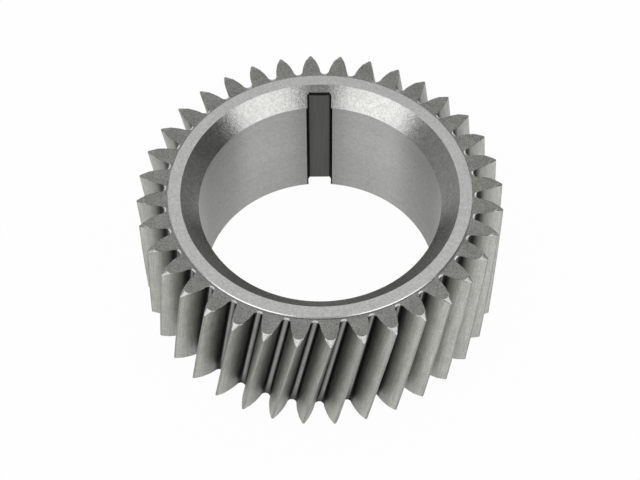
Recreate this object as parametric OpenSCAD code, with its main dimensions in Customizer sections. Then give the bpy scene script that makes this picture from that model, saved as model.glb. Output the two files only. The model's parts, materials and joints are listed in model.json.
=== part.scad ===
// Crankshaft timing gear: one piece of steel with helical teeth, a
// countersunk bore and one keyway.
// Frame: Z is the axis of the bore and the underside is at z = 0. The keyway
// faces +Y. All sizes are in millimetres and degrees.

/* [Teeth] */
// Number of teeth
teeth = 36; // [36:1:48]
// Normal module
normal_module = 3; // [3:0.1:4]
// Helix angle at the pitch circle, right hand
helix_angle = 10; // [0:1:20]
// Normal pressure angle
pressure_angle = 20; // [18:0.5:21]
// Height of the tooth above the pitch circle, in normal modules
addendum = 1.52; // [1.2:0.02:1.56]
// Depth of the tooth below the pitch circle, in normal modules
dedendum = 1.41; // [1.2:0.01:1.5]
// How much thinner each tooth is than half a pitch, for running play
backlash = 0.06; // [0:0.02:0.3]
// Radius of the fillet at each root corner
root_fillet = 1.2; // [0.4:0.1:1.4]
// Bevel on the tip of each tooth, at both ends
tip_bevel = 1.2; // [0.4:0.1:1.5]
// Broken edge along the flanks and roots, at both ends
edge_break = 0.3; // [0.1:0.05:0.5]
// Angle from the keyway to the nearest tooth, on the upper end
key_to_tooth = 2.95; // [0:0.05:5]

/* [Body] */
// Width of the toothed ring
face_width = 47.7; // [30:0.1:80]
// Height of the ground seat above the ends of the teeth
seat_height = 0.6; // [0.2:0.1:2]
// Step from the root circle in to the edge of the seat
seat_step = 1.1; // [0.5:0.1:1.5]
// Bevel on the outer edge of the seat
seat_bevel = 0.3; // [0.05:0.05:0.5]

/* [Bore] */
// Diameter of the bore
bore_d = 79; // [60:0.5:80]
// Width of the countersink, measured along the radius
countersink_w = 5.7; // [2:0.1:6]
// Depth of the countersink
countersink_depth = 5.6; // [2:0.1:8]
// Bevel at the lower end of the bore
bore_bevel = 0.7; // [0.2:0.1:2]

/* [Keyway] */
// Width of the key
key_w = 8; // [5:0.5:12]
// Depth of the keyway beyond the wall of the bore
key_depth = 3.3; // [2:0.1:4.5]

/* [Hidden] */

// How far a cut runs past the faces that it opens
overrun = 1;
// Steps along the tooth, the involute and the fillet
helix_steps = 3;
involute_steps = 4;
fillet_steps = 3;
round_sides = 144;

bore_r = bore_d / 2;
countersink_r = bore_r + countersink_w;
top_z = face_width + seat_height;

// The gear's circles, in the plane across the axis
pitch_r = teeth * normal_module / (2 * cos(helix_angle));
tip_r = pitch_r + addendum * normal_module;
root_r = pitch_r - dedendum * normal_module;
across_angle = atan(tan(pressure_angle) / cos(helix_angle));
base_r = pitch_r * cos(across_angle);
seat_r = root_r - seat_step;
twist_per_mm = degrees(tan(helix_angle) / pitch_r);

function degrees(a) = a * 180 / PI;

// Involute function of an angle in degrees, as degrees
function involute(a) = degrees(tan(a)) - a;

// Angle between the flank and the radius, where the flank has radius r
function lean(r) = acos(min(1, base_r / r));

// Half of the angle that a tooth covers, at the pitch circle and at radius r
pitch_half = 90 / teeth - degrees(backlash / 2 / pitch_r);
function tooth_half(r) = pitch_half + involute(across_angle) - involute(lean(r));

// The root fillet: its radius never outgrows half of the space between teeth
space_half = 180 / teeth - tooth_half(base_r);
fillet_r = min(root_fillet, 0.95 * base_r * sin(space_half));
fillet_centre_r = root_r + fillet_r;
fillet_lean = lean(fillet_centre_r);
fillet_centre_angle =
    tooth_half(fillet_centre_r)
    + degrees(fillet_r / cos(fillet_lean) / fillet_centre_r);
fillet_centre = polar(fillet_centre_r, fillet_centre_angle);
fillet_top_r = fillet_centre_r - fillet_r * sin(fillet_lean);

function polar(r, a) = [r * cos(a), r * sin(a)];

// A tooth stands along +X. Each point of its outline is [place, direction into
// the metal], here for the flank on the side of +Y.
function flank_point(r) =
    let (a = tooth_half(r))
    [polar(r, a), polar(1, a - 90 - lean(r))];

function fillet_point(turn) =
    let (inward = polar(1, fillet_centre_angle - turn))
    [fillet_centre + fillet_r * inward, inward];

// Down one flank from radius top_r and round the fillet to the root circle
function half_outline(top_r) = concat(
    [
        for (i = [0:involute_steps - 1])
            flank_point(top_r + (fillet_top_r - top_r) * i / involute_steps)
    ],
    [
        for (i = [0:fillet_steps])
            fillet_point(90 + fillet_lean + (90 - fillet_lean) * i / fillet_steps)
    ]
);
half_count = involute_steps + fillet_steps + 1;
tooth_count = 2 * half_count;
ring_count = teeth * tooth_count;

// One flank set back into the metal, root last
function set_back(points, depth) = [for (p = points) p[0] + depth * p[1]];
function mirrored(points) = [for (i = [len(points) - 1:-1:0]) [points[i][0], -points[i][1]]];

function turned(p, a) = [p[0] * cos(a) - p[1] * sin(a), p[0] * sin(a) + p[1] * cos(a)];

// The whole outline at height z: every tooth, turned by the helix
function ring(z, depth) =
    let (
        bevel = max(0, tip_bevel - z, z - face_width + tip_bevel),
        flank = set_back(half_outline(tip_r - bevel), depth),
        tooth = concat(mirrored(flank), flank),
        start = 90 + key_to_tooth + (z - face_width) * twist_per_mm
    )
    [
        for (k = [0:teeth - 1], p = tooth)
            let (q = turned(p, start + k * 360 / teeth))
            [q[0], q[1], z]
    ];

// [height, how far the outline is set back]: the edges are broken at both ends
levels = concat(
    [[0, edge_break], [edge_break, 0]],
    [
        for (i = [0:helix_steps])
            [tip_bevel + (face_width - 2 * tip_bevel) * i / helix_steps, 0]
    ],
    [[face_width - edge_break, 0], [face_width, edge_break]]
);

// Body of the gear with its helical teeth, solid to the axis
module toothed_body() {
    top = (len(levels) - 1) * ring_count;
    axis = len(levels) * ring_count;
    points = concat(
        [for (level = levels) each ring(level[0], level[1])],
        [[0, 0, 0], [0, 0, face_width]]
    );
    walls = [
        for (k = [0:len(levels) - 2], i = [0:ring_count - 1])
            let (
                a = k * ring_count + i,
                b = k * ring_count + (i + 1) % ring_count
            )
            each [[b, a, b + ring_count], [b + ring_count, a, a + ring_count]]
    ];
    // The end of each tooth is a stack of strips from its tip to its root
    strips = [
        for (k = [0:teeth - 1], i = [0:half_count - 2])
            let (a = k * tooth_count + i, b = (k + 1) * tooth_count - 1 - i)
            each [[a, a + 1, b - 1, b], [top + b, top + b - 1, top + a + 1, top + a]]
    ];
    // Inside the roots the end is a fan round the axis
    fans = [
        for (k = [0:teeth - 1])
            let (
                a = k * tooth_count,
                b = a + tooth_count - 1,
                c = (b + 1) % ring_count
            )
            each [
                [axis, a, b],
                [axis, b, c],
                [axis + 1, top + b, top + a],
                [axis + 1, top + c, top + b]
            ]
    ];
    polyhedron(points, concat(walls, strips, fans), convexity = 8);
}

// The ground seat that stands above the ends of the teeth
module seat() {
    rotate_extrude($fn = round_sides)
        polygon([
            [0, face_width - overrun],
            [seat_r, face_width - overrun],
            [seat_r, top_z - seat_bevel],
            [seat_r - seat_bevel, top_z],
            [0, top_z]
        ]);
}

// The bore, with its countersink above and its bevel below
module bore() {
    rotate_extrude($fn = round_sides)
        polygon([
            [0, -overrun],
            [bore_r + bore_bevel + overrun, -overrun],
            [bore_r, bore_bevel],
            [bore_r, top_z - countersink_depth],
            [countersink_r, top_z],
            [countersink_r, top_z + overrun],
            [0, top_z + overrun]
        ]);
}

// The broached keyway, open at both ends and towards the bore
module keyway() {
    translate([-key_w / 2, 0, -overrun])
        cube([key_w, bore_r + key_depth, top_z + 2 * overrun]);
}

module timing_gear() {
    color([0.66, 0.66, 0.64])
        difference() {
            union() {
                toothed_body();
                seat();
            }
            bore();
            keyway();
        }
}

timing_gear();
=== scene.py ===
"""The looks of a crankshaft timing gear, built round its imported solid.

The gear is one closed mesh in metres, in the solid's own frame: the axis of the
bore is Z, the underside is at z = 0 and the keyway faces +Y. Geometry Nodes
repeat one tooth round the rim, a lathe profile makes the body, and one cut makes
the keyway. Every finish is a procedural material.
"""

from __future__ import annotations

import json
import logging
import math
from collections.abc import Sequence
from dataclasses import dataclass
from enum import Enum
from typing import ClassVar, NamedTuple

import bmesh
import bpy
from mathutils import Matrix, Vector

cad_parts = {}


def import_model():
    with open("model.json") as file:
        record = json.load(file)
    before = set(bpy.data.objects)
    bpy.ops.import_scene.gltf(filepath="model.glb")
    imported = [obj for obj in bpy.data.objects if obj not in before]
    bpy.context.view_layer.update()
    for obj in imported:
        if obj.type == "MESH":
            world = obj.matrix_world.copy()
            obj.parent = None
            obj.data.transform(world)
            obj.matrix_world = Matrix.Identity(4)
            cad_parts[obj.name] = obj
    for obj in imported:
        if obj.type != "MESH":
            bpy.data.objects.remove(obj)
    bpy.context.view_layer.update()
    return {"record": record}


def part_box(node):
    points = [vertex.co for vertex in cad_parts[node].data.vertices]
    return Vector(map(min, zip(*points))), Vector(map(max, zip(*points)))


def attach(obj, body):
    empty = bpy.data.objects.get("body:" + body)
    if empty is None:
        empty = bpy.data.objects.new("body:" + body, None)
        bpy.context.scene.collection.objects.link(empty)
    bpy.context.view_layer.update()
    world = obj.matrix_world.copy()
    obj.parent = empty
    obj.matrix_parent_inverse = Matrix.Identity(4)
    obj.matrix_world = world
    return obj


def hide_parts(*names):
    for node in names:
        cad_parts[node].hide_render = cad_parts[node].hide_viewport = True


LOG = logging.getLogger("timing_gear")

MM = 0.001
NODE = "timing_gear"
SHARP_EDGE = math.radians(20)
QUARTER_TURN = math.pi / 2

Point = tuple[float, float]


class Surface(Enum):
    """Every worked surface of the gear, in the order of its material slots."""

    FLANK = 0
    TOOTH_END = 1
    BEVEL = 2
    SEAT = 3
    COUNTERSINK = 4
    BORE = 5
    KEYWAY = 6
    KEYWAY_CORNER_PAINTED_SHADE = 7
    UNDERSIDE = 8
    SEAT_RIM_PAINTED_HIGHLIGHT = 9


class Lay(Enum):
    """The direction in which a tool leaves its marks."""

    ROUND_THE_AXIS = "round the axis"
    ALONG_THE_AXIS = "along the axis"
    ALONG_THE_TOOTH = "along the tooth"


def polar(radius: float, angle: float) -> Vector:
    """Return the point at a radius and an angle in radians."""
    return Vector((radius * math.cos(angle), radius * math.sin(angle)))


def rounded(corners: Sequence[Point], radii: Sequence[float], steps: int) -> list[Vector]:
    """Round the corners of an open outline with arcs.

    Args:
        corners: The outline's corners; its two ends stay as they are.
        radii: The radius at each corner, 0 where it stays sharp.
        steps: Straight steps in each arc.

    Returns:
        The points of the rounded outline.
    """
    points = [Vector(corners[0])]
    for i in range(1, len(corners) - 1):
        before, here, after = (Vector(corners[k]) for k in (i - 1, i, i + 1))
        if radii[i] == 0:
            points.append(here)
            continue
        back, ahead = (before - here).normalized(), (after - here).normalized()
        half = back.angle(ahead) / 2
        middle = here + (back + ahead).normalized() * radii[i] / math.sin(half)
        first = here + back * radii[i] / math.tan(half) - middle
        last = here + ahead * radii[i] / math.tan(half) - middle
        arc = [first.slerp(last, k / steps) * radii[i] for k in range(steps + 1)]
        points += [middle + way for way in arc]
    points.append(Vector(corners[-1]))
    return points


def in_scene(name: str, data: bpy.types.ID) -> bpy.types.Object:
    """Make an object of some data and put it in the scene.

    Args:
        name: The object's name.
        data: Its mesh, lamp or camera.

    Returns:
        The object.
    """
    ob = bpy.data.objects.new(name, data)
    bpy.context.scene.collection.objects.link(ob)
    return ob


def mesh_of(bm: bmesh.types.BMesh, name: str) -> bpy.types.Mesh:
    """Write an edited mesh to a new mesh and free it.

    Args:
        bm: The edited mesh.
        name: The new mesh's name.

    Returns:
        The new mesh.
    """
    mesh = bpy.data.meshes.new(name)
    bm.to_mesh(mesh)
    bm.free()
    return mesh


def flattened(ob: bpy.types.Object) -> bpy.types.Mesh:
    """Turn an object with its modifiers into a plain mesh and remove the object.

    Args:
        ob: The object.

    Returns:
        The mesh as its modifiers leave it.
    """
    shown = ob.evaluated_get(bpy.context.evaluated_depsgraph_get())
    mesh = bpy.data.meshes.new_from_object(shown)
    bpy.data.objects.remove(ob)
    return mesh


@dataclass
class GearSizes:
    """The gear's sizes in millimetres and radians, with those that the solid gives.

    Attributes:
        bore_r: Radius of the bore.
        top_z: Height of the ground seat above the underside.
        teeth: Number of teeth.
        normal_module: Normal module of the teeth.
        helix: Helix angle at the pitch circle, right hand.
        pressure: Normal pressure angle.
        addendum: Height of a tooth above the pitch circle, in normal modules.
        dedendum: Depth of a tooth below the pitch circle, in normal modules.
        backlash: How much thinner a tooth is than half a pitch, for running play.
        root_fillet: Radius of the fillet at each root corner.
        tip_bevel: How far the bevel on a tip reaches in along the radius.
        upper_slope: How far it reaches down from the upper end.
        lower_slope: How far it reaches up from the lower end.
        edge_round: Radius of the round along the edges of a tooth's ends.
        key_to_tooth: Angle from the keyway to the nearest tooth, on the upper end.
        seat_height: Height of the seat above the ends of the teeth.
        seat_step: Step from the root circle in to the edge of the seat.
        seat_bevel: Bevel on the outer edge of the seat.
        countersink_w: Width of the countersink, measured along the radius.
        countersink_depth: Depth of the countersink.
        bore_bevel: Bevel at the lower end of the bore.
        key_w: Width of the keyway.
        key_depth: Depth of the keyway beyond the wall of the bore.
    """

    bore_r: float
    top_z: float
    teeth: int = 36
    normal_module: float = 3.0
    helix: float = math.radians(10)
    pressure: float = math.radians(20)
    addendum: float = 1.52
    dedendum: float = 1.41
    backlash: float = 0.06
    root_fillet: float = 1.42
    tip_bevel: float = 2.15
    upper_slope: float = 0.8
    lower_slope: float = 0.45
    edge_round: float = 0.14
    key_to_tooth: float = math.radians(2.95)
    seat_height: float = 0.6
    seat_step: float = 1.1
    seat_bevel: float = 0.33
    countersink_w: float = 5.7
    countersink_depth: float = 5.6
    bore_bevel: float = 0.7
    key_w: float = 8.0
    key_depth: float = 3.3

    def __post_init__(self) -> None:
        """Work out the circles of the gear and its twist."""
        self.face_width = self.top_z - self.seat_height
        self.pitch_r = self.teeth * self.normal_module / (2 * math.cos(self.helix))
        self.tip_r = self.pitch_r + self.addendum * self.normal_module
        self.root_r = self.pitch_r - self.dedendum * self.normal_module
        self.across = math.atan(math.tan(self.pressure) / math.cos(self.helix))
        self.base_r = self.pitch_r * math.cos(self.across)
        self.seat_r = self.root_r - self.seat_step
        self.countersink_r = self.bore_r + self.countersink_w
        self.twist = math.tan(self.helix) / self.pitch_r

    @classmethod
    def from_frame(cls, record: dict) -> GearSizes:
        """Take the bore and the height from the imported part.

        Args:
            record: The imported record, with the bore among its mounts.

        Returns:
            The sizes of the gear.
        """
        bore = next(m for m in record["mounts"] if m["name"] == "bore")
        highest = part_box(NODE)[1].z
        return cls(bore_r=bore["dims"]["r_mm"], top_z=highest / MM)

    def lean(self, radius: float) -> float:
        """Return the angle between the flank and the radius."""
        return math.acos(min(1.0, self.base_r / radius))

    def tooth_half(self, radius: float) -> float:
        """Work out half of the angle that a tooth covers.

        Args:
            radius: Where it is measured, in millimetres from the axis.

        Returns:
            The angle in radians.
        """
        half_pitch = math.pi / 2 / self.teeth - self.backlash / 2 / self.pitch_r
        lean = self.lean(radius)
        return half_pitch + math.tan(self.across) - self.across - math.tan(lean) + lean


class Level(NamedTuple):
    """The height of one outline of the teeth, with its place in the metal.

    Attributes:
        height: Its height above the underside.
        set_back: How far it is set back into the metal.
        loss: How much the tip loses of its radius.
        corner: Radius of the round at the tip's corners.
    """

    height: float
    set_back: float
    loss: float
    corner: float


@dataclass
class ToothRing:
    """The helical teeth, their ends and the step in to the seat.

    Geometry Nodes turn one tooth into the whole ring.

    Attributes:
        sizes: The sizes of the gear.
        corner_steps: Steps round each corner of a tip.
        flank_steps: Steps along each flank, from the tip to the fillet.
        fillet_steps: Steps round each root fillet.
        helix_steps: Steps along the tooth.
        inner_steps: Steps along the inner edge of a tooth's end.
        edge_steps: Steps round the edges of a tooth's ends.
        root_reach: How much further the roots' upper ends are set back than the flanks.
        tip_round: Radius of the round at the tip's corners, in millimetres.
        end_round: The same radius at the ends, where it is widest.
        corner_limit: The share of a tip that its two corners may take up.
        bevel_shares: Heights of the outlines on a tip's bevel, as shares of the bevel.
        inner_gap: Width of the flat ring between the seat and the teeth.
        weld_mm: How near to each other two vertices are joined.
        seed: Seed of the number that sets each tooth's marks apart.
    """

    sizes: GearSizes
    corner_steps: int = 4
    flank_steps: int = 10
    fillet_steps: int = 6
    helix_steps: int = 12
    inner_steps: int = 4
    edge_steps: int = 4
    root_reach: float = 3.5
    tip_round: float = 0.36
    end_round: float = 1.9
    corner_limit: float = 0.97
    bevel_shares: tuple[float, ...] = (0.6, 0.8, 1.0)
    inner_gap: float = 0.4
    weld_mm: float = 0.002
    seed: int = 7

    @property
    def inner_r(self) -> float:
        """Return the radius at which the ring's ends meet the body."""
        return self.sizes.seat_r + self.inner_gap

    def half_outline(
        self, top_r: float, corner: float, root_reach: float
    ) -> list[tuple[Vector, Vector]]:
        """Follow one side of a tooth that stands along +X, from its tip to its root.

        Args:
            top_r: Radius of the tip at this height.
            corner: Radius of the round between the tip and the flank.
            root_reach: How much further the roots are set back than the flanks.

        Returns:
            Each point with its direction into the metal, which is longer where the
            root reaches further.
        """
        s = self.sizes
        tip = polar(top_r, s.tooth_half(top_r))
        turn = QUARTER_TURN - s.lean(top_r)
        corner = min(corner, self.corner_limit * tip.y / math.tan(turn / 2))
        middle = tip - Vector((corner, corner * math.tan(turn / 2)))
        arc = [polar(1, turn * i / self.corner_steps) for i in range(self.corner_steps + 1)]
        points = [(middle + corner * out, -out) for out in arc]
        fillet_r = s.root_fillet
        centre_r = s.root_r + fillet_r
        lean = s.lean(centre_r)
        centre = polar(centre_r, s.tooth_half(centre_r) + fillet_r / math.cos(lean) / centre_r)
        first_r = points[-1][0].length
        last_r = centre_r - fillet_r * math.sin(lean)
        for i in range(1, self.flank_steps):
            radius = first_r + (last_r - first_r) * i / self.flank_steps
            angle = s.tooth_half(radius)
            points.append((polar(radius, angle), polar(1, angle - QUARTER_TURN - s.lean(radius))))
        facing = math.atan2(centre.y, centre.x)
        for i in range(self.fillet_steps + 1):
            swing = QUARTER_TURN + lean + (QUARTER_TURN - lean) * i / self.fillet_steps
            inward = polar(1, facing - swing)
            reach = 1 + root_reach * i / self.fillet_steps
            points.append((centre + fillet_r * inward, reach * inward))
        valley = math.pi / s.teeth
        points.append((polar(s.root_r, valley), polar(-1 - root_reach, valley)))
        return points

    def end_levels(self, slope: float) -> list[Level]:
        """List the outlines at one end of the teeth, from its face inward.

        Args:
            slope: Height of the tips' bevel.

        Returns:
            The outlines, with heights measured from the face.
        """
        s = self.sizes
        turns = [QUARTER_TURN * i / self.edge_steps for i in range(self.edge_steps + 1)]
        ways = [(1 - math.cos(turn), 1 - math.sin(turn)) for turn in turns]
        places = [(s.edge_round * down, s.edge_round * back) for down, back in ways]
        places += [(slope * share, 0.0) for share in self.bevel_shares]
        levels = []
        for height, set_back in places:
            share = 1 - height / slope
            corner = self.tip_round + (self.end_round - self.tip_round) * share
            levels.append(Level(height, set_back, s.tip_bevel * share, corner))
        return levels

    def levels(self) -> list[Level]:
        """List the outlines of the teeth.

        Returns:
            The outlines, from the underside up.
        """
        s = self.sizes
        lower, upper = self.end_levels(s.lower_slope), self.end_levels(s.upper_slope)
        first, last = lower[-1].height, s.face_width - upper[-1].height
        middle = [
            Level(first + (last - first) * i / self.helix_steps, 0.0, 0.0, self.tip_round)
            for i in range(1, self.helix_steps)
        ]
        top = [level._replace(height=s.face_width - level.height) for level in reversed(upper)]
        return lower + middle + top

    def level_points(self, level: Level) -> list[Vector]:
        """Place one outline of a tooth, from the valley before it to the valley after it.

        Args:
            level: The outline.

        Returns:
            Its points, turned by the helix.
        """
        s = self.sizes
        root_reach = self.root_reach if level.height > s.face_width / 2 else 0.0
        side = self.half_outline(s.tip_r - level.loss + level.set_back, level.corner, root_reach)
        right = [place + level.set_back * inward for place, inward in side]
        left = [Vector((p.x, -p.y)) for p in reversed(right)]
        turn = Matrix.Rotation(s.key_to_tooth + (level.height - s.face_width) * s.twist, 2)
        quarter = Matrix.Rotation(QUARTER_TURN, 2)
        return [Vector((*(quarter @ turn @ p), level.height)) * MM for p in left + right]

    def add_row(self, bm: bmesh.types.BMesh, level: Level) -> list[bmesh.types.BMVert]:
        """Add one outline of the tooth, with each vertex's distance from the tip.

        Args:
            bm: The tooth's mesh.
            level: The outline.

        Returns:
            The outline's vertices.
        """
        points = self.level_points(level)
        row = [bm.verts.new(p) for p in points]
        along = bm.verts.layers.float["outline_mm"]
        walked = 0.0
        for k in range(len(row) // 2, len(row)):
            walked += (points[k] - points[k - 1]).length / MM
            row[k][along], row[len(row) - 1 - k][along] = walked, -walked
        return row

    def add_side(
        self, bm: bmesh.types.BMesh, levels: tuple[Level, Level], rows: tuple[list, list]
    ) -> None:
        """Add the faces between two outlines and mark those of an end or a bevel.

        Args:
            bm: The tooth's mesh.
            levels: The lower outline's level and the upper one's.
            rows: The lower outline's vertices and the upper one's.
        """
        is_end, is_bevel = (bm.faces.layers.bool[name] for name in ("tooth_end", "tooth_bevel"))
        sloped = levels[0].set_back != levels[1].set_back
        tip_sloped = levels[0].loss != levels[1].loss
        low, high = rows
        centre = len(low) // 2
        for i in range(len(low) - 1):
            face = bm.faces.new((low[i], low[i + 1], high[i + 1], high[i]))
            from_tip = abs(i + 1 - centre)
            at_tip = from_tip <= self.corner_steps
            at_root = from_tip >= centre - self.fillet_steps // 2
            face[is_bevel] = (tip_sloped and at_tip) or (sloped and at_root)
            face[is_end] = sloped and not face[is_bevel]

    def add_end(self, bm: bmesh.types.BMesh, row: list, upward: bool) -> None:
        """Add the flat end of the tooth, from its outline in to the body.

        Args:
            bm: The tooth's mesh.
            row: The outline's vertices.
            upward: Whether it is the upper end.
        """
        s = self.sizes
        z = s.face_width if upward else 0.0
        step = 2 * math.pi / s.teeth / self.inner_steps
        start = QUARTER_TURN + s.key_to_tooth + (z - s.face_width) * s.twist
        inner = [
            bm.verts.new(Vector((*polar(self.inner_r, start + step * k), z)) * MM)
            for k in (i - self.inner_steps / 2 for i in range(self.inner_steps, -1, -1))
        ]
        loop = row + inner
        face = bm.faces.new(loop if upward else loop[::-1])
        face[bm.faces.layers.bool["tooth_end"]] = True

    def tooth_mesh(self) -> bpy.types.Mesh:
        """Build one tooth with its ends.

        Returns:
            A mesh with two face attributes, tooth_end on its ends and their edges
            and tooth_bevel on the tip's bevels and the ends of its roots, and the
            vertex attribute outline_mm, the distance from the tip along the outline.
        """
        bm = bmesh.new()
        bm.faces.layers.bool.new("tooth_end")
        bm.faces.layers.bool.new("tooth_bevel")
        bm.verts.layers.float.new("outline_mm")
        levels = self.levels()
        rows = [self.add_row(bm, level) for level in levels]
        for k in range(len(rows) - 1):
            self.add_side(bm, (levels[k], levels[k + 1]), (rows[k], rows[k + 1]))
        self.add_end(bm, rows[0], upward=False)
        self.add_end(bm, rows[-1], upward=True)
        return mesh_of(bm, "tooth")

    def tree(self) -> bpy.types.NodeTree:
        """Build the Geometry Nodes that turn one tooth into a ring.

        Returns:
            A tree with named inputs for the count, the weld distance, the seed
            and the three finishes.
        """
        tree = bpy.data.node_groups.new("tooth ring", "GeometryNodeTree")
        sockets = {
            "Tooth": "Geometry",
            "Teeth": "Int",
            "Weld distance": "Float",
            "Seed": "Int",
            "Flank finish": "Material",
            "End finish": "Material",
            "Bevel finish": "Material",
        }
        for name, kind in sockets.items():
            tree.interface.new_socket(name, in_out="INPUT", socket_type=f"NodeSocket{kind}")
        tree.interface.new_socket("Ring", in_out="OUTPUT", socket_type="NodeSocketGeometry")
        wire = Wiring(tree)
        source = wire.node("NodeGroupInput").outputs
        line = wire.node("GeometryNodeMeshLine", Count=source["Teeth"], Offset=(0, 0, 0))
        index = wire.node("GeometryNodeInputIndex").outputs["Index"]
        step = wire.maths("DIVIDE", 2 * math.pi, source["Teeth"])
        turn = wire.node("ShaderNodeCombineXYZ", Z=wire.maths("MULTIPLY", index, step))
        ring = wire.node(
            "GeometryNodeInstanceOnPoints",
            Points=line.outputs["Mesh"],
            Instance=source["Tooth"],
            Rotation=turn.outputs["Vector"],
        )
        chance = wire.node("FunctionNodeRandomValue", Seed=source["Seed"])
        number = wire.node("GeometryNodeStoreNamedAttribute", Name="tooth_chance")
        number.domain = "INSTANCE"
        wire.join(ring.outputs["Instances"], number.inputs["Geometry"])
        wire.join(chance.outputs[1], number.inputs["Value"])
        plain = wire.node("GeometryNodeRealizeInstances", Geometry=number.outputs["Geometry"])
        weld = wire.node("GeometryNodeMergeByDistance", Geometry=plain.outputs["Geometry"])
        wire.join(source["Weld distance"], weld.inputs["Distance"])
        ring_out = wire.dressed(weld.outputs["Geometry"], source["Flank finish"], None)
        ring_out = wire.dressed(ring_out, source["End finish"], "tooth_end")
        ring_out = wire.dressed(ring_out, source["Bevel finish"], "tooth_bevel")
        wire.node("NodeGroupOutput", Ring=ring_out)
        return tree

    def build(self, materials: dict[Surface, bpy.types.Material]) -> bpy.types.Mesh:
        """Run the tree on one tooth.

        Args:
            materials: The material of each surface.

        Returns:
            The ring of teeth as a plain mesh, open where it meets the body.
        """
        ob = in_scene("tooth", self.tooth_mesh())
        ob.data.materials.append(materials[Surface.FLANK])
        modifier = ob.modifiers.new("tooth ring", "NODES")
        modifier.node_group = self.tree()
        values = {
            "Teeth": self.sizes.teeth,
            "Weld distance": self.weld_mm * MM,
            "Seed": self.seed,
            "Flank finish": materials[Surface.FLANK],
            "End finish": materials[Surface.TOOTH_END],
            "Bevel finish": materials[Surface.BEVEL],
        }
        for item in modifier.node_group.interface.items_tree:
            if item.name in values:
                modifier[item.identifier] = values[item.name]
        return flattened(ob)


class Wiring:
    """Places and joins the nodes of one tree, on a grid.

    Attributes:
        COLUMNS: Nodes in each row of the grid.
        SPACING: Distance between its rows and columns, in the node editor's units.
    """

    COLUMNS = 9
    SPACING = 190

    def __init__(self, tree: bpy.types.NodeTree) -> None:
        """Keep the tree."""
        self.tree = tree

    def join(self, source: bpy.types.NodeSocket, target: bpy.types.NodeSocket) -> None:
        """Link two sockets."""
        self.tree.links.new(source, target)

    def feed(self, target: bpy.types.NodeSocket, value: object) -> None:
        """Link a socket to an input, or set its plain value.

        Args:
            target: The input.
            value: The socket or the value.
        """
        if isinstance(value, bpy.types.NodeSocket):
            self.join(value, target)
        else:
            target.default_value = value

    def node(self, kind: str, **inputs: object) -> bpy.types.Node:
        """Add a node.

        Args:
            kind: The node's type.
            inputs: Sockets or values for its inputs, with _ for a space.

        Returns:
            The new node.
        """
        made = self.tree.nodes.new(kind)
        row, column = divmod(len(self.tree.nodes), self.COLUMNS)
        made.location = (self.SPACING * column, -self.SPACING * row)
        return self.fed(made, inputs)

    def fed(self, made: bpy.types.Node, inputs: dict[str, object]) -> bpy.types.Node:
        """Feed a node's named inputs.

        Args:
            made: The node.
            inputs: Sockets or values for its inputs, with _ for a space.

        Returns:
            The same node.
        """
        for name, value in inputs.items():
            self.feed(made.inputs[name.replace("_", " ")], value)
        return made

    def group(self, tree: bpy.types.NodeTree, **inputs: object) -> bpy.types.Node:
        """Add a node group.

        Args:
            tree: The tree that the group holds.
            inputs: Sockets or values for its inputs, with _ for a space.

        Returns:
            The new node.
        """
        made = self.node("ShaderNodeGroup")
        made.node_tree = tree
        return self.fed(made, inputs)

    def maths(self, operation: str, *values: object, clamp: bool = False) -> bpy.types.NodeSocket:
        """Add a Math node and return its output.

        Args:
            operation: The node's operation.
            values: Sockets or numbers for its inputs.
            clamp: Whether the result stays between 0 and 1.

        Returns:
            The output socket.
        """
        made = self.node("ShaderNodeMath")
        made.operation, made.use_clamp = operation, clamp
        for target, value in zip(made.inputs, values):
            self.feed(target, value)
        return made.outputs[0]

    def vector(self, operation: str, value: object, **inputs: object) -> bpy.types.NodeSocket:
        """Add a Vector Math node.

        Args:
            operation: The node's operation.
            value: A socket or a vector for its first input.
            inputs: Sockets or values for its other inputs.

        Returns:
            The output socket that the operation uses.
        """
        made = self.node("ShaderNodeVectorMath")
        made.operation = operation
        self.feed(made.inputs[0], value)
        self.fed(made, inputs)
        return made.outputs["Value" if operation == "LENGTH" else "Vector"]

    def noise(
        self, place: bpy.types.NodeSocket, seed: bpy.types.NodeSocket, **inputs: object
    ) -> bpy.types.NodeSocket:
        """Add noise with a seed.

        Args:
            place: Where the noise is read.
            seed: The fourth coordinate.
            inputs: Sockets or values for the node's other inputs.

        Returns:
            The noise as a value from 0 to 1.
        """
        made = self.node("ShaderNodeTexNoise", **inputs)
        made.noise_dimensions = "4D"
        self.join(place, made.inputs["Vector"])
        self.join(seed, made.inputs["W"])
        return made.outputs[0]

    def whereabouts(self) -> tuple[bpy.types.NodeSocket, ...]:
        """Read where a point of the gear lies.

        Returns:
            Its distance from the axis and its height, in millimetres, and the
            direction from the axis to it.
        """
        place = self.node("ShaderNodeTexCoord").outputs["Object"]
        split = self.node("ShaderNodeSeparateXYZ", Vector=place).outputs
        flat = self.node("ShaderNodeCombineXYZ", X=split["X"], Y=split["Y"]).outputs["Vector"]
        radius = self.maths("DIVIDE", self.vector("LENGTH", flat), MM)
        height = self.maths("DIVIDE", split["Z"], MM)
        return radius, height, self.vector("NORMALIZE", flat)

    def dressed(
        self, mesh: bpy.types.NodeSocket, finish: bpy.types.NodeSocket, part: str | None
    ) -> bpy.types.NodeSocket:
        """Add a Set Material node.

        Args:
            mesh: The geometry to dress.
            finish: The material.
            part: The face attribute that chooses the faces, or None for all.

        Returns:
            The dressed geometry.
        """
        made = self.node("GeometryNodeSetMaterial", Geometry=mesh, Material=finish)
        if part:
            chosen = self.node("GeometryNodeInputNamedAttribute", Name=part)
            chosen.data_type = "BOOLEAN"
            self.join(chosen.outputs["Attribute"], made.inputs["Selection"])
        return made.outputs["Geometry"]


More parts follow.
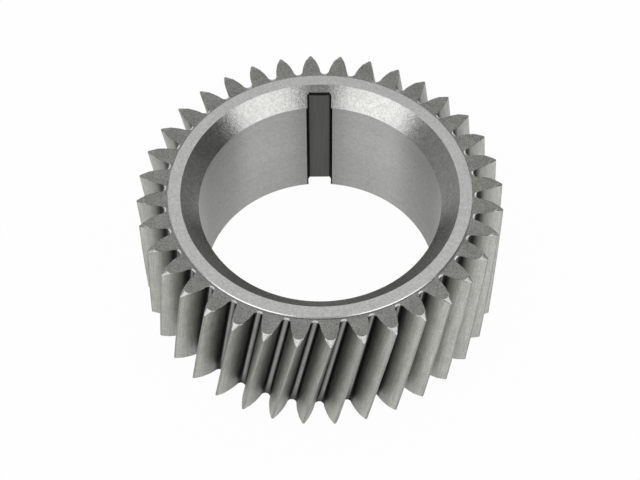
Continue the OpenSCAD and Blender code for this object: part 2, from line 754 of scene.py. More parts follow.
@dataclass
class Body:
    """The turned body inside the teeth: seat, countersink, bore and underside.

    Attributes:
        sizes: The sizes of the gear.
        columns: Steps round the axis.
        corner_steps: Steps round each corner of the profile.
        corner_round: Radius of the rounded corners, in millimetres.
    """

    sizes: GearSizes
    columns: int = 360
    corner_steps: int = 3
    corner_round: float = 0.22

    def profile(self) -> list[tuple[Vector, Surface]]:
        """Follow the lathe profile from the foot of the seat to the underside.

        Returns:
            Each point in (radius, height), with the surface that starts there.
        """
        s = self.sizes
        corners = [
            (s.seat_r, s.face_width),
            (s.seat_r, s.top_z - s.seat_bevel),
            (s.seat_r - s.seat_bevel, s.top_z),
            (s.countersink_r, s.top_z),
            (s.bore_r, s.top_z - s.countersink_depth),
            (s.bore_r, s.bore_bevel),
            (s.bore_r + s.bore_bevel, 0.0),
            (s.seat_r, 0.0),
        ]
        small = self.corner_round
        radii = [0, small / 2, small / 2, small, small, small, small, 0]
        points = rounded(corners, radii, self.corner_steps)
        return [(p, self.surface_at(p)) for p in points]

    def surface_at(self, p: Vector) -> Surface:
        """Name the surface that starts at a point of the profile.

        Args:
            p: The point in (radius, height).

        Returns:
            The surface.
        """
        s = self.sizes
        slack = self.corner_round / 4
        if p.y > slack and p.x > s.seat_r - s.seat_bevel + slack:
            on_wall = p.y < s.top_z - s.seat_bevel - slack
            # The rim bevel's bright line is partly its real reflection and partly a painted
            # highlight from its near-white tint
            return Surface.BEVEL if on_wall else Surface.SEAT_RIM_PAINTED_HIGHLIGHT
        if p.x > s.countersink_r + slack:
            return Surface.SEAT
        if p.y > s.top_z - s.countersink_depth + slack:
            return Surface.COUNTERSINK
        if p.y > s.bore_bevel + slack:
            return Surface.BORE
        return Surface.COUNTERSINK if p.y > slack else Surface.UNDERSIDE

    def build(self, bm: bmesh.types.BMesh) -> tuple[list, list]:
        """Turn the profile round the axis.

        Args:
            bm: The mesh that the faces go into.

        Returns:
            The loops at the foot of the seat and at the rim of the underside.
        """
        loops = []
        for p, surface in self.profile():
            step = 2 * math.pi / self.columns
            places = (polar(p.x, step * (k + 0.5)) for k in range(self.columns))
            loops.append(([bm.verts.new(Vector((*q, p.y)) * MM) for q in places], surface))
        for (loop, surface), (after, _) in zip(loops, loops[1:]):
            for k in range(self.columns):
                j = (k + 1) % self.columns
                face = bm.faces.new((loop[k], loop[j], after[j], after[k]))
                face.material_index = surface.value
        return loops[0][0], loops[-1][0]


@dataclass
class Keyway:
    """The broached keyway, with soft corners and broken edges.

    Attributes:
        sizes: The sizes of the gear.
        floor_round: Radius of the corners beside its floor, in millimetres.
        floor_steps: Steps in each of those corners.
        bore_break: Width of its broken edges along the bore.
        floor_break: The same where its floor comes out at the ends.
        side_break: The same where its sides come out at the ends.
        overrun: How far the cutter runs past what it cuts.
        flatness: The least part of a flat face's normal that points along an axis.
        floor_lean: The least part of an edge that runs along the floor, if it is
            broken as the floor is.
    """

    sizes: GearSizes
    floor_round: float = 0.55
    floor_steps: int = 6
    bore_break: float = 0.45
    floor_break: float = 0.6
    side_break: float = 0.1
    overrun: float = 3.0
    flatness: float = 0.999
    floor_lean: float = 0.9

    def outline(self) -> list[Vector]:
        """Draw the cutter from above, anticlockwise.

        Returns:
            Its points in millimetres.
        """
        s = self.sizes
        half, near, far = s.key_w / 2, s.bore_r - self.overrun, s.bore_r + s.key_depth
        corners = [(0.0, near), (half, near), (half, far), (0.0, far)]
        right = rounded(corners, [0, 0, self.floor_round, 0], self.floor_steps)
        left = [Vector((-p.x, p.y)) for p in reversed(right[1:-1])]
        return right + left

    def cutter(self) -> bpy.types.Object:
        """Build the cutter as a closed prism.

        Returns:
            The cutter's object.
        """
        s = self.sizes
        bm = bmesh.new()
        low = [bm.verts.new(Vector((*p, -self.overrun)) * MM) for p in self.outline()]
        high = [bm.verts.new(Vector((*p, s.top_z + self.overrun)) * MM) for p in self.outline()]
        bm.faces.new(low[::-1])
        bm.faces.new(high)
        for k in range(len(low)):
            j = (k + 1) % len(low)
            bm.faces.new((low[k], low[j], high[j], high[k]))
        bm.normal_update()
        # The rounded corners beside the floor take the near-black finish: painted shade in those
        # corners
        for face in bm.faces:
            flat = max(abs(part) for part in face.normal) > self.flatness
            face.material_index = (Surface.KEYWAY if flat else Surface.KEYWAY_CORNER_PAINTED_SHADE).value
        return in_scene("keyway cutter", mesh_of(bm, "keyway cutter"))

    def break_at(self, edge: bmesh.types.BMEdge) -> float:
        """Choose how wide an edge is broken.

        Args:
            edge: An edge of the gear.

        Returns:
            The width in millimetres, or 0 where the edge isn't the keyway's.
        """
        keyway = {Surface.KEYWAY.value, Surface.KEYWAY_CORNER_PAINTED_SHADE.value}
        worn = {face.material_index for face in edge.link_faces}
        if not worn & keyway or worn <= keyway:
            return 0.0
        if Surface.BORE.value in worn:
            return self.bore_break
        run = edge.verts[0].co - edge.verts[1].co
        along_floor = abs(run.x) > self.floor_lean * run.length
        return self.floor_break if along_floor else self.side_break

    def break_edges(self, bm: bmesh.types.BMesh) -> None:
        """Break the sharp edges that the broach leaves.

        Args:
            bm: The gear with its keyway cut.
        """
        # The broken edges take the near-black finish: painted shade along the keyway's edges
        for width in (self.bore_break, self.floor_break, self.side_break):
            bmesh.ops.bevel(
                bm,
                geom=[edge for edge in bm.edges if self.break_at(edge) == width],
                offset=width * MM,
                segments=1,
                affect="EDGES",
                clamp_overlap=False,
                material=Surface.KEYWAY_CORNER_PAINTED_SHADE.value,
            )


class ShaderGroups:
    """The shader node groups that the finishes share.

    Attributes:
        MARKS_RADIUS: Radius of the circle that marks round the axis are spread on.
        TOOTH_SPREAD: How far apart the marks of the teeth are read.
        FOOT_HEIGHTS: The heights between which the roots grow lighter.
        FOOT_SHADES: The shades of a root at those heights.
        FILLET_RISE: Where a fillet takes on its painted shade: from the first to the second
            share of its radius above the root.
        SHOULDER_RISE: Where it loses its painted shade again, in the same shares.
        TIP_MARGIN: How far below its tip a flank has its full painted light, in millimetres.
        CREST_MARGINS: Between which distances below the tip the crest takes on its
            painted shade.
    """

    MARKS_RADIUS = 40.0
    TOOTH_SPREAD = 90.0
    FOOT_HEIGHTS = (1.0, 8.0)
    FOOT_SHADES = (0.3, 0.9)
    FILLET_RISE = (0.02, 0.2)
    SHOULDER_RISE = (0.35, 2.1)
    TIP_MARGIN = 0.5
    CREST_MARGINS = (0.3, 0.1)

    def __init__(self, sizes: GearSizes) -> None:
        """Build each group once.

        Args:
            sizes: The sizes of the gear.
        """
        # Painted shade in the fillets and on the crests, painted light towards the tips
        self.tooth = self.painted_shade_on_teeth(sizes)
        self.marks = self.tool_marks()
        self.tooth_marks = self.marks_along_teeth()
        self.grain = self.fine_grain()
        self.steel = self.worked_steel()

    @staticmethod
    def start(name: str, inputs: dict[str, float], outputs: Sequence[str]) -> Wiring:
        """Open a shader group with plain number sockets.

        Args:
            name: The group's name.
            inputs: Each input's name and usual value.
            outputs: The names of its outputs.

        Returns:
            The wiring of the new group.
        """
        tree = bpy.data.node_groups.new(name, "ShaderNodeTree")
        kind = "NodeSocketFloat"
        for label, value in inputs.items():
            made = tree.interface.new_socket(label, in_out="INPUT", socket_type=kind)
            made.default_value = value
        for label in outputs:
            tree.interface.new_socket(label, in_out="OUTPUT", socket_type=kind)
        return Wiring(tree)

    def tool_marks(self) -> bpy.types.NodeTree:
        """Build lines that run round or along the axis.

        Returns:
            A group whose inputs are marks per millimetre round the axis, outward
            and upward, and whose output is a value from 0 to 1.
        """
        inputs = {"Around": 0.02, "Outward": 3.0, "Upward": 3.0, "Seed": 0.0}
        wire = self.start("tool marks", inputs, ("Value",))
        source = wire.node("NodeGroupInput").outputs
        radius, height, direction = wire.whereabouts()
        round_axis = wire.maths("MULTIPLY", source["Around"], self.MARKS_RADIUS)
        around = wire.vector("SCALE", direction, Scale=round_axis)
        turned = wire.node("ShaderNodeSeparateXYZ", Vector=around).outputs
        up = wire.maths("MULTIPLY", height, source["Upward"])
        spot = wire.node("ShaderNodeCombineXYZ", X=turned["X"], Y=turned["Y"], Z=up)
        out = wire.maths("MULTIPLY", radius, source["Outward"])
        seed = wire.maths("ADD", out, source["Seed"])
        place = spot.outputs["Vector"]
        marks = wire.noise(place, seed, Scale=1.0, Detail=3.0, Roughness=0.65)
        wire.node("NodeGroupOutput", Value=marks)
        return wire.tree

    def marks_along_teeth(self) -> bpy.types.NodeTree:
        """Build lines that run along each tooth, different on every tooth.

        Returns:
            A group whose inputs are marks per millimetre across and along the
            tooth, and whose output is a value from 0 to 1.
        """
        inputs = {"Across": 3.0, "Along": 0.05, "Seed": 0.0}
        wire = self.start("marks along the teeth", inputs, ("Value",))
        source = wire.node("NodeGroupInput").outputs
        outline, chance = wire.node("ShaderNodeAttribute"), wire.node("ShaderNodeAttribute")
        outline.attribute_name, chance.attribute_name = "outline_mm", "tooth_chance"
        _, height, _ = wire.whereabouts()
        along = wire.maths("MULTIPLY", height, source["Along"])
        across = wire.maths("MULTIPLY", outline.outputs["Fac"], source["Across"])
        pick = wire.maths("MULTIPLY", chance.outputs["Fac"], self.TOOTH_SPREAD)
        spot = wire.node("ShaderNodeCombineXYZ", X=across, Y=along, Z=pick)
        place = spot.outputs["Vector"]
        marks = wire.noise(place, source["Seed"], Scale=1.0, Detail=3.0, Roughness=0.6)
        wire.node("NodeGroupOutput", Value=marks)
        return wire.tree

    def fine_grain(self) -> bpy.types.NodeTree:
        """Build grain with no direction.

        Returns:
            A group whose input is grains per millimetre and whose output is a
            value from 0 to 1.
        """
        wire = self.start("fine grain", {"Per millimetre": 2.0, "Seed": 0.0}, ("Value",))
        source = wire.node("NodeGroupInput").outputs
        place = wire.node("ShaderNodeTexCoord").outputs["Object"]
        scale = wire.maths("DIVIDE", source["Per millimetre"], MM)
        grain = wire.noise(place, source["Seed"], Scale=scale, Detail=4.0, Roughness=0.7)
        wire.node("NodeGroupOutput", Value=grain)
        return wire.tree

    def painted_shade_on_teeth(self, sizes: GearSizes) -> bpy.types.NodeTree:
        """Build the flanks' painted shade and light: dark fillets, plain roots and lighter tips.

        Args:
            sizes: The sizes of the gear.

        Returns:
            A group whose inputs are the painted shade of a fillet, the painted light of the
            flank beside a tip and the painted shade of the tip itself, and whose output is
            the painted shade and light at each place.
        """
        inputs = {"Fillet": 1.0, "Tip": 1.0, "Crest": 1.0}
        wire = self.start("tooth shade", inputs, ("Value",))
        source = wire.node("NodeGroupInput").outputs
        radius, height, _ = wire.whereabouts()
        low, high = self.FOOT_HEIGHTS
        foot = wire.node("ShaderNodeMapRange", Value=height, From_Min=low, From_Max=high)
        wire.fed(foot, dict(zip(("To Min", "To Max"), self.FOOT_SHADES)))
        root, fillet, tip = sizes.root_r, sizes.root_fillet, sizes.tip_r
        dark_from, dark_to = (root + share * fillet for share in self.FILLET_RISE)
        light_from, shoulder = (root + share * fillet for share in self.SHOULDER_RISE)
        crest_from, crest_to = (tip - margin for margin in self.CREST_MARGINS)
        # Painted shade into the fillets, its fading over the shoulder, painted light towards the
        # tip, painted shade on the crest
        stretches = (
            (dark_from, dark_to, foot.outputs[0], source["Fillet"]),
            (light_from, shoulder, 0.0, 1.0),
            (shoulder, tip - self.TIP_MARGIN, 1.0, source["Tip"]),
            (crest_from, crest_to, 1.0, source["Crest"]),
        )
        steps = []
        for first, last, before, after in stretches:
            step = wire.node("ShaderNodeMapRange", Value=radius, From_Min=first, From_Max=last)
            step.interpolation_type = "SMOOTHSTEP"
            wire.fed(step, {"To Min": before, "To Max": after})
            steps.append(step.outputs[0])
        lift = wire.maths("SUBTRACT", 1.0, steps[0])
        shade = wire.maths("MULTIPLY_ADD", lift, steps[1], steps[0])
        shade = wire.maths("MULTIPLY", shade, wire.maths("MULTIPLY", steps[2], steps[3]))
        wire.node("NodeGroupOutput", Value=shade)
        return wire.tree

    def worked_steel(self) -> bpy.types.NodeTree:
        """Build the steel's tone, gloss and relief from three patterns.

        Returns:
            A group whose inputs are the patterns and how much each one counts,
            and whose outputs are the colour's shade, the roughness and a height.
        """
        inputs = {
            "Marks": 0.5,
            "Grain": 0.5,
            "Cloud": 0.5,
            "Marks shade": 0.1,
            "Grain shade": 0.1,
            "Cloud shade": 0.1,
            "Marks relief": 0.5,
            "Roughness": 0.35,
            "Roughness range": 0.1,
        }
        wire = self.start("worked steel", inputs, ("Shade", "Roughness", "Height"))
        source = wire.node("NodeGroupInput").outputs
        shade: object = 1.0
        for name in ("Marks", "Grain", "Cloud"):
            swing = wire.maths("MULTIPLY_ADD", source[name], 2.0, -1.0)
            shade = wire.maths("MULTIPLY_ADD", swing, source[f"{name} shade"], shade)
        mixed = wire.maths("ADD", source["Grain"], source["Cloud"])
        offset = wire.maths("SUBTRACT", mixed, 1.0)
        rough = wire.maths("MULTIPLY_ADD", offset, source["Roughness range"], source["Roughness"])
        lines = wire.maths("MULTIPLY", source["Marks"], source["Marks relief"])
        rest = wire.maths("SUBTRACT", 1.0, source["Marks relief"])
        height = wire.maths("MULTIPLY_ADD", source["Grain"], rest, lines)
        wire.node("NodeGroupOutput", Shade=shade, Roughness=rough, Height=height)
        return wire.tree


@dataclass(frozen=True)
class SteelFinish:
    """One way in which the gear's steel is worked.

    Attributes:
        surface: The surface that wears it.
        tint: The colour of the bare metal.
        roughness: How dull it is, from 0 to 1.
        lay: The direction of the tool's marks.
        across: Marks per millimetre across the lay.
        along: Marks per millimetre along the lay.
        grain: Grains per millimetre.
        cloud: Soft clouds per millimetre.
        marks_shade: How much the marks change the tone.
        grain_shade: How much the grain changes the tone.
        cloud_shade: How much the clouds change the tone.
        marks_relief: The marks' share of the relief, the rest being grain.
        relief: Height of the relief in millimetres.
        gloss_range: How much the roughness changes.
        stretch: How far reflections are drawn out across marks round the axis.
        grazing: How much of the light at a grazing angle is mirrored.
        painted_shade_in_fillets: How much painted shade darkens the fillets beside the
            roots, or 1.
        painted_light_at_tips: How much painted light lightens the flanks towards the tips,
            or 1.
        painted_shade_on_crests: How much painted shade darkens the tips themselves, or 1.
        MARKS_SEED: What a surface's place is added to for its marks.
        GRAIN_SEED: What a surface's place is added to for its grain.
        ACROSS: The turn, as a share of a full one, that draws reflections out across
            the marks.
    """

    MARKS_SEED: ClassVar[float] = 10.0
    GRAIN_SEED: ClassVar[float] = 30.0
    ACROSS: ClassVar[float] = 0.25

    surface: Surface
    tint: tuple[float, float, float]
    roughness: float
    lay: Lay
    across: float = 3.0
    along: float = 0.03
    grain: float = 2.0
    cloud: float = 0.15
    marks_shade: float = 0.1
    grain_shade: float = 0.1
    cloud_shade: float = 0.08
    marks_relief: float = 0.5
    relief: float = 0.01
    gloss_range: float = 0.1
    stretch: float = 0.0
    grazing: float = 1.0
    painted_shade_in_fillets: float = 1.0
    painted_light_at_tips: float = 1.0
    painted_shade_on_crests: float = 1.0

    def lay_node(self, wire: Wiring, groups: ShaderGroups) -> bpy.types.NodeSocket:
        """Add the marks of the tool.

        Args:
            wire: The material's wiring.
            groups: The shared groups.

        Returns:
            The marks as a value from 0 to 1.
        """
        seed = self.MARKS_SEED + self.surface.value
        if self.lay is Lay.ALONG_THE_TOOTH:
            tree, values = groups.tooth_marks, {"Across": self.across, "Along": self.along}
            return wire.group(tree, Seed=seed, **values).outputs["Value"]
        round_axis, upward = self.along, self.across
        if self.lay is Lay.ALONG_THE_AXIS:
            round_axis, upward = upward, round_axis
        values = {"Around": round_axis, "Outward": self.across, "Upward": upward}
        return wire.group(groups.marks, Seed=seed, **values).outputs["Value"]

    def grain_node(self, wire: Wiring, groups: ShaderGroups, scale: float) -> bpy.types.NodeSocket:
        """Add grain of one scale and return its value."""
        seed = self.GRAIN_SEED + self.surface.value
        return wire.group(groups.grain, Per_millimetre=scale, Seed=seed).outputs["Value"]

    def build(self, groups: ShaderGroups) -> bpy.types.Material:
        """Make the material.

        Args:
            groups: The shared groups.

        Returns:
            The finished material.
        """
        name = f"steel {self.surface.name.lower().replace('_', ' ')}"
        material = bpy.data.materials.new(name)
        material.use_nodes = True
        material.node_tree.nodes.clear()
        wire = Wiring(material.node_tree)
        steel = wire.group(
            groups.steel,
            Marks=self.lay_node(wire, groups),
            Grain=self.grain_node(wire, groups, self.grain),
            Cloud=self.grain_node(wire, groups, self.cloud),
            Marks_shade=self.marks_shade,
            Grain_shade=self.grain_shade,
            Cloud_shade=self.cloud_shade,
            Marks_relief=self.marks_relief,
            Roughness=self.roughness,
            Roughness_range=self.gloss_range,
        ).outputs
        shade = steel["Shade"]
        # Painted shade in the fillets and on the crests and painted light towards the tips scale
        # the flank's colour
        if self.painted_shade_in_fillets != 1.0:
            shades = {"Fillet": self.painted_shade_in_fillets, "Tip": self.painted_light_at_tips, "Crest": self.painted_shade_on_crests}
            tooth = wire.group(groups.tooth, **shades)
            shade = wire.maths("MULTIPLY", shade, tooth.outputs["Value"])
        relief = self.relief * MM
        bump = wire.node("ShaderNodeBump", Strength=1.0, Distance=relief, Height=steel["Height"])
        shader = wire.node(
            "ShaderNodeBsdfPrincipled",
            Metallic=1.0,
            Base_Color=wire.vector("SCALE", self.tint, Scale=shade),
            Roughness=steel["Roughness"],
            Normal=bump.outputs["Normal"],
            Specular_Tint=(*[self.grazing] * 3, 1.0),
        )
        if self.stretch:
            round_axis = wire.node("ShaderNodeTangent")
            round_axis.direction_type, round_axis.axis = "RADIAL", "Z"
            wire.fed(shader, {"Anisotropic": self.stretch, "Anisotropic Rotation": self.ACROSS})
            wire.join(round_axis.outputs["Tangent"], shader.inputs["Tangent"])
        wire.node("ShaderNodeOutputMaterial", Surface=shader.outputs["BSDF"])
        return material


FINISHES = (
    SteelFinish(
        Surface.FLANK,
        (0.41, 0.41, 0.386),
        0.4,
        Lay.ALONG_THE_TOOTH,
        across=3.0,
        along=0.12,
        grain=1.6,
        grain_shade=0.4,
        marks_shade=0.45,
        cloud=0.2,
        cloud_shade=0.25,
        relief=0.01,
        gloss_range=0.08,
        grazing=0.7,
        # Painted shade in the fillets and on the crests, painted light towards the tips
        painted_shade_in_fillets=0.08,
        painted_light_at_tips=1.45,
        painted_shade_on_crests=0.68,
    ),
    SteelFinish(
        Surface.TOOTH_END,
        (0.233, 0.233, 0.22),
        0.42,
        Lay.ROUND_THE_AXIS,
        across=2.0,
        grain=1.8,
        grain_shade=1.3,
        cloud=0.16,
        cloud_shade=0.5,
        marks_relief=0.15,
        relief=0.12,
    ),
    SteelFinish(
        Surface.BEVEL,
        (0.58, 0.58, 0.56),
        0.26,
        Lay.ALONG_THE_TOOTH,
        grain=1.5,
        grain_shade=0.5,
        relief=0.06,
    ),
    SteelFinish(
        Surface.SEAT,
        (0.41, 0.41, 0.402),
        0.34,
        Lay.ROUND_THE_AXIS,
        across=2.5,
        grain=1.4,
        grain_shade=0.6,
        marks_shade=0.12,
        cloud_shade=0.06,
        marks_relief=0.3,
        relief=0.01,
    ),
    SteelFinish(
        Surface.COUNTERSINK,
        (0.56, 0.56, 0.54),
        0.2,
        Lay.ROUND_THE_AXIS,
        across=2.5,
        grain=1.4,
        grain_shade=0.6,
        cloud=0.5,
        cloud_shade=0.3,
        marks_relief=0.1,
        relief=0.05,
        grazing=0.25,
    ),
    SteelFinish(
        Surface.BORE,
        (0.64, 0.64, 0.627),
        0.52,
        Lay.ROUND_THE_AXIS,
        across=1.5,
        along=0.01,
        grain=1.0,
        grain_shade=0.35,
        marks_shade=0.12,
        cloud_shade=0.1,
        relief=0.001,
        stretch=1.0,
    ),
    # The keyway's dark tint is partly its rough broached finish and partly painted shade in the
    # recess
    SteelFinish(
        Surface.KEYWAY,
        (0.125, 0.125, 0.121),
        0.4,
        Lay.ALONG_THE_AXIS,
        across=2.2,
        along=0.05,
        marks_shade=0.4,
        grain_shade=0.15,
    ),
    # Near-black: painted shade on the keyway's broken edges and floor corners
    SteelFinish(Surface.KEYWAY_CORNER_PAINTED_SHADE, (0.03, 0.03, 0.029), 0.5, Lay.ALONG_THE_AXIS, grazing=0.3),
    SteelFinish(Surface.UNDERSIDE, (0.54, 0.54, 0.52), 0.4, Lay.ROUND_THE_AXIS),
    # Painted highlight: the rim bevel is tinted far lighter than the seat, on top of its real
    # reflection
    SteelFinish(
        Surface.SEAT_RIM_PAINTED_HIGHLIGHT,
        (0.8, 0.8, 0.79),
        0.26,
        Lay.ROUND_THE_AXIS,
        grain=1.5,
        grain_shade=0.3,
        relief=0.02,
    ),
)


@dataclass
class TimingGear:
    """The whole gear as one closed mesh.

    Attributes:
        sizes: The sizes of the gear.
        groups: The shader groups that the finishes share.
        sliver_mm: How short an edge has to be for the cut's clean-up to remove it.
    """

    sizes: GearSizes
    groups: ShaderGroups
    sliver_mm: float = 0.001

    def __post_init__(self) -> None:
        """Lay out the keyway and build the finishes."""
        self.keyway = Keyway(self.sizes)
        self.materials = {finish.surface: finish.build(self.groups) for finish in FINISHES}

    @staticmethod
    def close_gap(bm: bmesh.types.BMesh, outer: list, inner: list, upward: bool) -> None:
        """Fill the flat ring between two loops round the axis.

        Args:
            bm: The mesh.
            outer: The vertices of the outer loop.
            inner: The vertices of the inner loop.
            upward: Whether the new faces look up.
        """

        def heading(vert: bmesh.types.BMVert) -> float:
            """Return a vertex's angle round the axis."""
            return math.atan2(vert.co.y, vert.co.x)

        outer, inner = sorted(outer, key=heading), sorted(inner, key=heading)
        i = j = 0
        while i < len(outer) or j < len(inner):
            a, b = outer[i % len(outer)], inner[j % len(inner)]
            next_a, next_b = outer[(i + 1) % len(outer)], inner[(j + 1) % len(inner)]
            ahead_a = heading(next_a) + (2 * math.pi if i + 1 >= len(outer) else 0)
            ahead_b = heading(next_b) + (2 * math.pi if j + 1 >= len(inner) else 0)
            if j >= len(inner) or (i < len(outer) and ahead_a <= ahead_b):
                corners, i = (a, next_a, b), i + 1
            else:
                corners, j = (a, next_b, b), j + 1
            face = bm.faces.new(corners if upward else corners[::-1])
            face.material_index = (Surface.TOOTH_END if upward else Surface.UNDERSIDE).value

    def joined(self) -> bpy.types.Mesh:
        """Join the ring of teeth and the body into one closed mesh.

        Returns:
            The mesh, before the keyway is cut.
        """
        ring = ToothRing(self.sizes).build(self.materials)
        worn = [self.surface_of(m) for m in ring.materials]
        bm = bmesh.new()
        bm.from_mesh(ring)
        for face in bm.faces:
            face.material_index = worn[face.material_index].value
        rims = {v for e in bm.edges if e.is_boundary for v in e.verts}
        middle = self.sizes.face_width * MM / 2
        upper = [v for v in rims if v.co.z > middle]
        lower = [v for v in rims if v.co.z < middle]
        seat_loop, under_loop = Body(self.sizes).build(bm)
        self.close_gap(bm, upper, seat_loop, True)
        self.close_gap(bm, lower, under_loop, False)
        bmesh.ops.recalc_face_normals(bm, faces=bm.faces)
        bpy.data.meshes.remove(ring)
        return mesh_of(bm, NODE)

    def surface_of(self, material: bpy.types.Material) -> Surface:
        """Return the surface that wears a material."""
        return next(s for s, m in self.materials.items() if m.name == material.name)

    def cut(self, mesh: bpy.types.Mesh) -> bpy.types.Mesh:
        """Cut the keyway.

        Args:
            mesh: The gear without its keyway.

        Returns:
            The gear with its keyway.
        """
        blank, cutter = in_scene("blank", mesh), self.keyway.cutter()
        for surface in Surface:
            mesh.materials.append(self.materials[surface])
            cutter.data.materials.append(self.materials[surface])
        broach = blank.modifiers.new("keyway", "BOOLEAN")
        broach.operation, broach.solver, broach.object = "DIFFERENCE", "EXACT", cutter
        made = flattened(blank)
        bpy.data.objects.remove(cutter)
        return made

    def shade(self, mesh: bpy.types.Mesh) -> None:
        """Break the keyway's edges and shade the mesh, smooth but for its corners.

        Args:
            mesh: The mesh.
        """
        bm = bmesh.new()
        bm.from_mesh(mesh)
        bmesh.ops.dissolve_degenerate(bm, dist=self.sliver_mm * MM, edges=bm.edges)
        self.keyway.break_edges(bm)
        for face in bm.faces:
            face.smooth = True
        for edge in bm.edges:
            meets = len(edge.link_faces) == 2
            edge.smooth = meets and edge.calc_face_angle(0.0) < SHARP_EDGE
        bm.to_mesh(mesh)
        bm.free()

    @staticmethod
    def flatten_faces(mesh: bpy.types.Mesh) -> bpy.types.Mesh:
        """Let the small rounds bend their own shading and not the faces beside them.

        Args:
            mesh: The shaded mesh.

        Returns:
            The mesh with normals weighted by the area of its faces.
        """
        ob = in_scene("weighted", mesh)
        weigh = ob.modifiers.new("weighted normals", "WEIGHTED_NORMAL")
        weigh.mode, weigh.keep_sharp = "FACE_AREA", True
        return flattened(ob)

    def build(self) -> bpy.types.Object:
        """Build the gear and let it stand for its solid.

        Returns:
            The finished piece.
        """
        mesh = self.cut(self.joined())
        self.shade(mesh)
        mesh = self.flatten_faces(mesh)
        mesh.name = NODE
        piece = in_scene("gear", mesh)
        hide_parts(NODE)
        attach(piece, "root")
        return piece


@dataclass(frozen=True)
class Softbox:
    """A wide lamp that looks at the gear.

    Attributes:
        name: Its name.
        azimuth: Its bearing in degrees, 0 at the camera's side and 90 at +X.
        elevation: Its height in degrees above the floor.
        width: Its width, in metres.
        height: Its height, in metres.
        brightness: How bright it looks, where 1 is white.
        distance: How far it stands from the gear, in metres.
    """

    name: str
    azimuth: float
    elevation: float
    width: float
    height: float
    brightness: float
    distance: float = 1.0

    def place(self, target: Vector) -> None:
        """Put the lamp in the scene.

        Args:
            target: The point that it looks at.
        """
        turn, rise = math.radians(self.azimuth), math.radians(self.elevation)
        flat = math.cos(rise)
        way = Vector((math.sin(turn) * flat, -math.cos(turn) * flat, math.sin(rise)))
        data = bpy.data.lights.new(self.name, "AREA")
        data.shape, data.size, data.size_y = "RECTANGLE", self.width, self.height
        data.energy = self.brightness * math.pi * self.width * self.height
        lamp = in_scene(self.name, data)
        lamp.location = target + way * self.distance
        lamp.rotation_euler = way.to_track_quat("Z", "Y").to_euler()


@dataclass
class Studio:
    """The pale floor, the lamps and the light all round.

    Attributes:
        target: The point that the lamps look at.
        floor_size: Length of the floor's sides, in metres.
        floor_tone: How light its paint is, from 0 to 1.
        seen_glow: How much of it glows where the camera sees it.
        mirrored_glow: How much of it glows where the gear mirrors it.
        light_all_round: Strength of the light from all round.
        light_at_ends: How much stronger it is in front and behind.
        light_at_left: How much stronger it is at the left.
        lamps: The lamps, from the front to those overhead.
    """

    target: Vector
    floor_size: float = 40.0
    floor_tone: float = 0.8
    seen_glow: float = 0.975
    mirrored_glow: float = 0.6
    light_all_round: float = 0.08
    light_at_ends: float = 0.25
    light_at_left: float = 0.18
    lamps: tuple[Softbox, ...] = (
        Softbox("front left softbox", -46, 32, 0.89, 0.62, 1.2),
        Softbox("front right softbox", 45.5, 32, 0.79, 0.62, 1.21),
        Softbox("back softbox", 170, 57, 1.1, 0.62, 1.06),
        Softbox("top softbox", 0, 82, 0.5, 0.36, 1.4),
        Softbox("left overhead softbox", -90, 62, 0.55, 0.4, 1.3),
        Softbox("right overhead softbox", 90, 62, 0.55, 0.4, 1.15),
    )

    def floor(self) -> None:
        """Lay a white floor that keeps the gear's shadow."""
        bpy.ops.mesh.primitive_plane_add(size=self.floor_size)
        floor = bpy.context.object
        floor.name = "floor"
        material = bpy.data.materials.new("white floor")
        material.use_nodes = True
        material.node_tree.nodes.clear()
        wire = Wiring(material.node_tree)
        path = wire.node("ShaderNodeLightPath").outputs
        mirrored = wire.maths("ADD", path["Is Glossy Ray"], path["Is Transmission Ray"])
        seen = wire.maths("MULTIPLY", path["Is Camera Ray"], self.seen_glow)
        share = wire.maths("MULTIPLY_ADD", mirrored, self.mirrored_glow, seen, clamp=True)
        paint = wire.node("ShaderNodeBsdfDiffuse", Color=(*[self.floor_tone] * 3, 1.0))
        glow = wire.node("ShaderNodeEmission", Strength=1.0)
        mix = wire.node("ShaderNodeMixShader")
        wire.join(share, mix.inputs[0])
        wire.join(paint.outputs[0], mix.inputs[1])
        wire.join(glow.outputs[0], mix.inputs[2])
        wire.node("ShaderNodeOutputMaterial", Surface=mix.outputs[0])
        floor.data.materials.append(material)

    def world(self) -> None:
        """Light the scene faintly from all round, most from the left, front and back."""
        world = bpy.data.worlds.new("studio")
        bpy.context.scene.world = world
        world.use_nodes = True
        world.node_tree.nodes.clear()
        wire = Wiring(world.node_tree)
        way = wire.node("ShaderNodeTexCoord").outputs["Generated"]
        split = wire.node("ShaderNodeSeparateXYZ", Vector=way).outputs
        at_ends = wire.maths("MULTIPLY", wire.maths("ABSOLUTE", split["Y"]), self.light_at_ends)
        leftward = wire.maths("MINIMUM", split["X"], 0.0)
        at_left = wire.maths("MULTIPLY", leftward, -self.light_at_left)
        level = wire.maths("ADD", wire.maths("ADD", at_ends, at_left), self.light_all_round)
        light = wire.node("ShaderNodeBackground", Color=(1, 1, 1, 1), Strength=level)
        wire.node("ShaderNodeOutputWorld", Surface=light.outputs[0])

    def build(self) -> None:
        """Lay the floor and switch on the lights."""
        self.floor()
        self.world()
        for lamp in self.lamps:
            lamp.place(self.target)


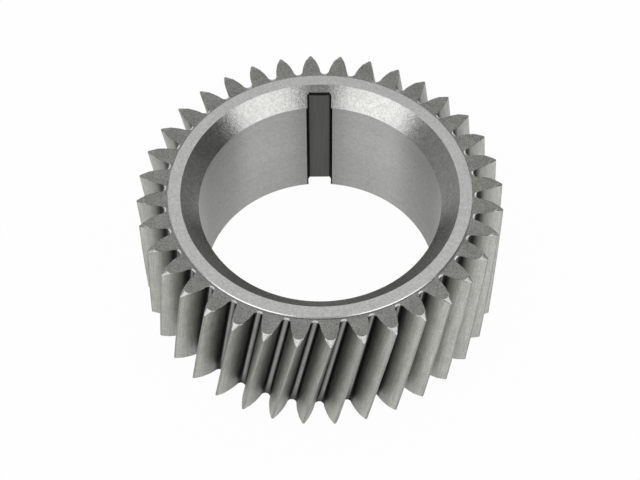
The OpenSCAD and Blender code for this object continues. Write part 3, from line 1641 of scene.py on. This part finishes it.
@dataclass
class StudioCamera:
    """The camera, where the photograph was taken from.

    Attributes:
        target: The centre of the bore at the height of the seat.
        elevation: Its height above the floor, in degrees.
        azimuth: Its bearing, in degrees.
        roll: Its roll, in degrees.
        distance: Its distance from the target along the line of sight, in metres.
        aside: How far it is moved to the right, in metres.
        above: How far it is moved up in the picture, in metres.
        lens: Its focal length in millimetres.
        sensor: Width of its sensor in millimetres.
        nearest: The least distance that it sees, in metres.
        farthest: The greatest distance that it sees, in metres.
    """

    target: Vector
    elevation: float = 54.12
    azimuth: float = -0.14
    roll: float = -0.28
    distance: float = 0.5501
    aside: float = -0.00008
    above: float = -0.01614
    lens: float = 95.66
    sensor: float = 36.0
    nearest: float = 0.01
    farthest: float = 100.0

    def build(self) -> None:
        """Set up the camera."""
        rise, turn = math.radians(self.elevation), math.radians(self.azimuth)
        back = Vector((0, -math.cos(rise), math.sin(rise)))
        right = Vector((1, 0, 0))
        up = back.cross(right)
        place = back * self.distance + right * self.aside + up * self.above
        tilt = math.radians(self.roll)
        across = right * math.cos(tilt) + up * math.sin(tilt)
        upward = up * math.cos(tilt) - right * math.sin(tilt)
        spin = Matrix.Rotation(turn, 3, "Z")
        axes = Matrix((spin @ across, spin @ upward, spin @ back)).transposed()
        data = bpy.data.cameras.new("camera")
        data.lens, data.sensor_width = self.lens, self.sensor
        data.clip_start, data.clip_end = self.nearest, self.farthest
        camera = in_scene("camera", data)
        camera.matrix_world = Matrix.Translation(self.target + spin @ place) @ axes.to_4x4()
        bpy.context.scene.camera = camera


def main() -> None:
    """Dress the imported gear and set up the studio."""
    logging.basicConfig(level=logging.INFO, format="%(message)s")
    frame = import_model()
    bpy.context.scene.view_settings.view_transform = "Standard"
    sizes = GearSizes.from_frame(frame["record"])
    target = Vector((0, 0, sizes.top_z * MM))
    StudioCamera(target).build()
    Studio(target).build()
    piece = TimingGear(sizes, ShaderGroups(sizes)).build()
    LOG.info("%s: %d faces", piece.name, len(piece.data.polygons))


if __name__ == "__main__":
    main()
